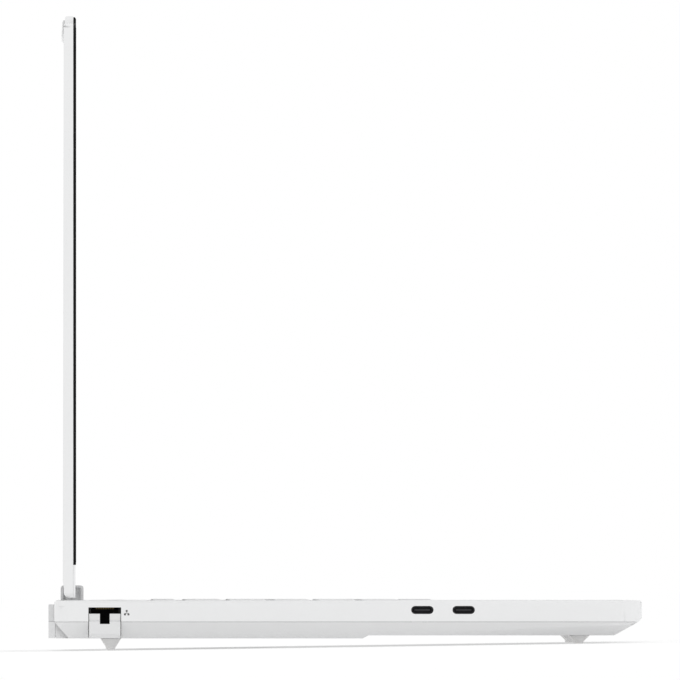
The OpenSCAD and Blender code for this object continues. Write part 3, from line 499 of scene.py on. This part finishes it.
# %% Caps and legends, row by row
ROWS = {
    "keys_function_row": "Esc F1 F2 F3 F4 F5 F6 F7 F8 F9 F10 F11 F12 Ins PrtSc Del Home End PgUp PgDn",
    "keys_number_row": "`~ 1! 2@ 3# 4$ 5% 6^ 7& 8* 9( 0) -_ =+",
    "backspace_key": "Back",
    "keys_upper_row": "Tab Q W E R T Y U I O P [{ ]} \\|",
    "keys_home_row": "Caps A S D F G H J K L ;: '\"",
    "enter_key": "Enter",
    "keys_lower_row": "Z X C V B N M ,< .> /?",
    "shift_key_left": "Shift",
    "shift_key_right": "Shift",
    "keys_bottom_row": "Ctrl Fn Super Alt Alt Ctrl",
    "space_bar": "",
    "arrow_keys": "^ < v >",
    "number_pad_keys": "Num / * - 7 8 9 4 5 6 + 1 2 3 0 .",
    "number_pad_enter_key": "Enter",
}
DEEP_KEY = 12
LETTER, DIGIT, SHIFTED, WORD = 4.2, 3.4, 3.2, 2.3  # heights of the lettering
SIGN_LEFT, WORD_LEFT = 3.0, 1.9
LETTER_DOWN, SHIFTED_DOWN = 6.6, 5.6  # from the cap's rear edge
DIGIT_UP, WORD_UP, SHALLOW_WORD_UP = 3.4, 3.0, 3.9  # from its front edge
for node, words in ROWS.items():
    caps, ink = bmesh.new(), bmesh.new()
    boxes = key_blocks(node)
    for box in boxes:
        add_cap(caps, *box)
    for word, box in zip(words.split(), boxes):
        depth = (box[1].y - box[0].y) / MM
        if len(word) == 2 and not word[1].isalnum() and depth > DEEP_KEY:
            add_legend(ink, word[1], SHIFTED, box, SIGN_LEFT, depth - SHIFTED_DOWN)
            add_legend(ink, word[0], DIGIT, box, SIGN_LEFT, DIGIT_UP)
        elif len(word) == 1:
            add_legend(ink, word, LETTER, box, SIGN_LEFT, depth - LETTER_DOWN)
        else:
            up = WORD_UP if depth > DEEP_KEY else SHALLOW_WORD_UP
            add_legend(ink, word, WORD, box, WORD_LEFT, up)
    make_piece("capped_" + node, caps, body_of[node], keycap_white, instead_of=[node])
    if words:
        make_piece("legends_" + node, ink, body_of[node], ink_grey)
print(len(ROWS), "rows of caps")

# %% [markdown]
# ## Soft edges
# No moulding has a knife edge: the tool's cutter leaves a small radius, and that radius is what
# catches the light. The CAD parts that show are copied, merged, and get their sharp outer edges
# bevelled by a fraction of a millimetre. The copy stands in for its node.

# %% Softened copies of the mouldings
SOFT_MM = {
    "top_deck": 0.2, "bottom_cover": 0.24, "lid_cover": 0.22, "screen_bezel": 0.15, "lid_chin": 0.15,
    "hinge_cap_left": 0.25, "hinge_cap_right": 0.25, "rear_bumper_top": 0.25,
    "rear_bumper_bottom": 0.25, "rear_foot": 0.4, "front_feet": 0.4, "touchpad": 0.12,
    "power_button": 0.15, "network_jaw": 0.15, "camera_switch": 0.15,
}
for node, width in SOFT_MM.items():
    bm = bench_copy(node)
    before = bm.calc_volume()
    count = soften(bm, width * MM)
    open_edges = sum(1 for e in bm.edges if len(e.link_faces) != 2)
    print(node, count, "edges", round(bm.calc_volume() / before, 4), open_edges, "open")
    # The network jaw takes the shell white with painted shade.
    finish = jaw_white_painted_shade if node == "network_jaw" else SLOT_FINISH[slot_of[node]]
    make_piece("soft_" + node, bm, body_of[node], finish, instead_of=[node])

# %% [markdown]
# ## The screen
# The panel sits behind the bezel, under an anti-glare film whose edge is cut a little short of the
# window. A plate with rounded corners does for the film: a grid of one face with its
# corners bevelled, then extruded. The rubber rim is the same plate with an inset hole: the sheet's
# outer edge is open, so the inset has to be told to count it.


# %% Rounded plates facing the user
def plate(x0, x1, z0, z1, front, back, corner, hole=None):
    """A rounded plate between two y planes, in millimetres; hole is the width of a frame's bars."""
    bm = bmesh.new()
    stand_up = Matrix.Rotation(math.radians(90), 4, "X")
    bmesh.ops.create_grid(bm, x_segments=1, y_segments=1, size=0.5, matrix=stand_up)
    bmesh.ops.scale(bm, vec=((x1 - x0) * MM, 1, (z1 - z0) * MM), verts=bm.verts)
    bmesh.ops.translate(bm, vec=((x0 + x1) / 2 * MM, front * MM, (z0 + z1) / 2 * MM), verts=bm.verts)
    bmesh.ops.bevel(bm, geom=bm.verts[:], offset=corner * MM, offset_type="OFFSET", segments=6,
                    profile=0.5, affect="VERTICES", material=-1)
    if hole:
        inner = bm.faces[:]
        bmesh.ops.inset_region(bm, faces=inner, thickness=hole * MM, use_boundary=True,
                               use_even_offset=True)
        bmesh.ops.delete(bm, geom=inner, context="FACES")
    sheet = bm.faces[:]
    grown = bmesh.ops.extrude_face_region(bm, geom=sheet, use_keep_orig=True)["geom"]
    moved = [v for v in grown if isinstance(v, bmesh.types.BMVert)]
    bmesh.ops.translate(bm, vec=(0, (back - front) * MM, 0), verts=moved)
    bmesh.ops.recalc_face_normals(bm, faces=bm.faces)
    return bm


panel_low, panel_high = (corner / MM for corner in level_box("display_panel"))
bezel_low, bezel_high = (corner / MM for corner in level_box("screen_bezel"))
film_side, film_foot, film_head, film_corner = 2.7, 6.2, 2.2, 1.2
film_front, film_back = panel_low.y - 0.14, panel_low.y - 0.01
film = plate(panel_low.x + film_side, panel_high.x - film_side, panel_low.z + film_foot,
             panel_high.z - film_head, film_front, film_back, film_corner)
make_piece("screen_film", film, "lid", screen_film)
rim_side, rim_foot, rim_head, rim_corner, rim_bar = 2.0, 1.0, 1.6, 6.0, 1.3
rim_front, rim_back = bezel_low.y - 0.06, bezel_low.y + 0.2
rim = plate(bezel_low.x + rim_side, bezel_high.x - rim_side, bezel_low.z + rim_foot,
            panel_high.z + rim_head, rim_front, rim_back, rim_corner, hole=rim_bar)
make_piece("rubber_rim", rim, "lid", rim_rubber)
print("film", round(panel_high.x - panel_low.x - 2 * film_side, 1), "mm wide")

# %% [markdown]
# ## Around the camera
# A bevelled ring frames the lens, with a small light beside it and a microphone hole on each side.
# Each is turned: a short profile is spun round an axis that faces the user.


# %% Turned trims of the camera
TURN_STEPS = 28


def turned(profile, x, y, z):
    """Spins a closed profile of (radius, forward) points in millimetres round a y axis."""
    bm = bmesh.new()
    points = [bm.verts.new(((x + radius) * MM, (y - forward) * MM, z * MM))
              for radius, forward in profile]
    loop = bm.faces.new(points)
    bmesh.ops.spin(bm, geom=[loop, *loop.edges, *loop.verts], cent=(x * MM, y * MM, z * MM),
                   axis=(0, 1, 0), angle=math.tau, steps=TURN_STEPS, use_merge=True)
    bmesh.ops.remove_doubles(bm, verts=bm.verts, dist=0.001 * MM)
    inside = [face for face in bm.faces if all(len(e.link_faces) > 2 for e in face.edges)]
    bmesh.ops.delete(bm, geom=inside, context="FACES")
    bmesh.ops.recalc_face_normals(bm, faces=bm.faces)
    return bm


lens_low, lens_high = (corner / MM for corner in level_box("camera_lens"))
lens_z = (lens_low.z + lens_high.z) / 2
face_y = bezel_low.y
RING = ((1.72, -0.3), (1.72, 0.02), (1.85, 0.1), (2.2, 0.1), (2.35, 0.02), (2.35, -0.3))
DOT = ((0.0001, -0.2), (0.0001, 0.05), (0.4, 0.04), (0.55, -0.02), (0.55, -0.2))
COLLAR = ((0.45, -0.2), (0.45, 0.02), (0.55, 0.06), (0.8, 0.06), (0.9, 0.0), (0.9, -0.2))
LIGHT_X, MICROPHONE_X = 6.0, 24
ring = turned(RING, 0, face_y, lens_z)
make_piece("camera_ring", ring, "lid", plain_black)
light = turned(DOT, LIGHT_X, face_y, lens_z)
make_piece("camera_light", light, "lid", touch_white)
for side in (-1, 1):
    collar = turned(COLLAR, side * MICROPHONE_X, face_y, lens_z)
    hand = "left" if side < 0 else "right"
    make_piece("microphone_collar_" + hand, collar, "lid", plain_black)

# %% [markdown]
# ## Printed signs
# Beside the network socket three linked squares are printed, and the power button carries the usual
# broken ring. Both are hair-thin solids that stand just proud of the surface.

# %% Network sign and power sign
SQUARE, LINE = 0.4, 0.09  # half widths
SIGN_THICK, SIGN_SUNK = 0.06, 0.02  # its middle lies inside the wall, its face a hair outside
SIDE_STEP = 0.75  # from the top square to the lower ones, each way
sign_y, top_z, joint_z, low_z = -23.6, -7.4, -8.35, -8.9
sign_parts = [(sign_y, top_z, SQUARE, SQUARE), (sign_y, -8.1, LINE, 0.45),
              (sign_y, joint_z, 0.8, LINE)]
for side in (-SIDE_STEP, SIDE_STEP):
    sign_parts += [(sign_y + side, -8.6, LINE, 0.3), (sign_y + side, low_z, SQUARE, SQUARE)]
sign = bmesh.new()
for y, z, half_y, half_z in sign_parts:
    shape = Matrix.Diagonal((SIGN_THICK * MM, 2 * half_y * MM, 2 * half_z * MM, 1))
    bmesh.ops.create_cube(sign, size=1.0, matrix=Matrix.Translation(
        (deck_low.x + SIGN_SUNK * MM, y * MM, z * MM)) @ shape)
make_piece("network_sign", sign, "base", ink_grey)

button_low, button_high = (corner / MM for corner in level_box("power_button"))
button_y = (button_low.y + button_high.y) / 2
ring_in, ring_out = 1.75, 2.1
sunk, proud = -0.05, 0.03
ring_start, ring_arc = math.radians(120), math.radians(300)
bar_y, bar_size = button_y + 1.9, (0.35, 1.7, 0.06)
power = bmesh.new()
corners = [power.verts.new((x * MM, button_y * MM, (button_high.z + up) * MM))
           for x, up in ((ring_in, sunk), (ring_out, sunk), (ring_out, proud), (ring_in, proud))]
start = power.faces.new(corners)
about = (0, button_y * MM, 0)
bmesh.ops.rotate(power, cent=about, matrix=Matrix.Rotation(ring_start, 3, "Z"),
                 verts=power.verts)
bmesh.ops.spin(power, geom=[start, *start.edges, *start.verts], cent=about, axis=(0, 0, 1),
               angle=ring_arc, steps=30)
bmesh.ops.create_cube(power, size=1.0, matrix=Matrix.Translation(
    (0, bar_y * MM, button_high.z * MM)) @ Matrix.Diagonal((*(s * MM for s in bar_size), 1)))
bmesh.ops.recalc_face_normals(power, faces=power.faces)
make_piece("power_sign", power, "power_button", ink_grey)

# %% [markdown]
# ## The floor and the light
# A plain pale floor and a soft white sky, with one large lamp above and in front for a little
# direction, so that the sloping underside turns darker than the walls; its finish adds painted shade.

# %% Floor, sky and lamp
scene = bpy.context.scene
scene.view_settings.view_transform = "Standard"
scene.view_settings.look = "None"
sky = bpy.data.worlds.new("white_sky")
sky.use_nodes = True
sky.node_tree.nodes["Background"].inputs["Color"].default_value = (1, 1, 1, 1)
sky.node_tree.nodes["Background"].inputs["Strength"].default_value = 1.0
scene.world = sky

floor_half = 30
floor_bm = bmesh.new()
bmesh.ops.create_grid(floor_bm, x_segments=1, y_segments=1, size=floor_half)
floor_mesh = bpy.data.meshes.new("floor")
floor_bm.to_mesh(floor_mesh)
floor_bm.free()
floor_finish = Finish("pale_floor")
floor_glow = 0.36
floor_mesh.materials.append(floor_finish.surface(
    Base_Color=grey(1 - floor_glow), Roughness=0.9, Specular_IOR_Level=0.0,
    Emission_Color=(1, 1, 1, 1), Emission_Strength=floor_glow))
floor = bpy.data.objects.new("floor", floor_mesh)
scene.collection.objects.link(floor)


def soft_lamp(name, place, target, size, power):
    lamp = bpy.data.lights.new(name, "AREA")
    lamp.size = size
    lamp.energy = power
    holder = bpy.data.objects.new(name, lamp)
    holder.location = place
    holder.rotation_euler = (Vector(target) - Vector(place)).to_track_quat("-Z", "Y").to_euler()
    scene.collection.objects.link(holder)


soft_lamp("key_lamp", (-1.3, -1.5, 1.7), (0, 0, 0.1), 0.9, 3.0)
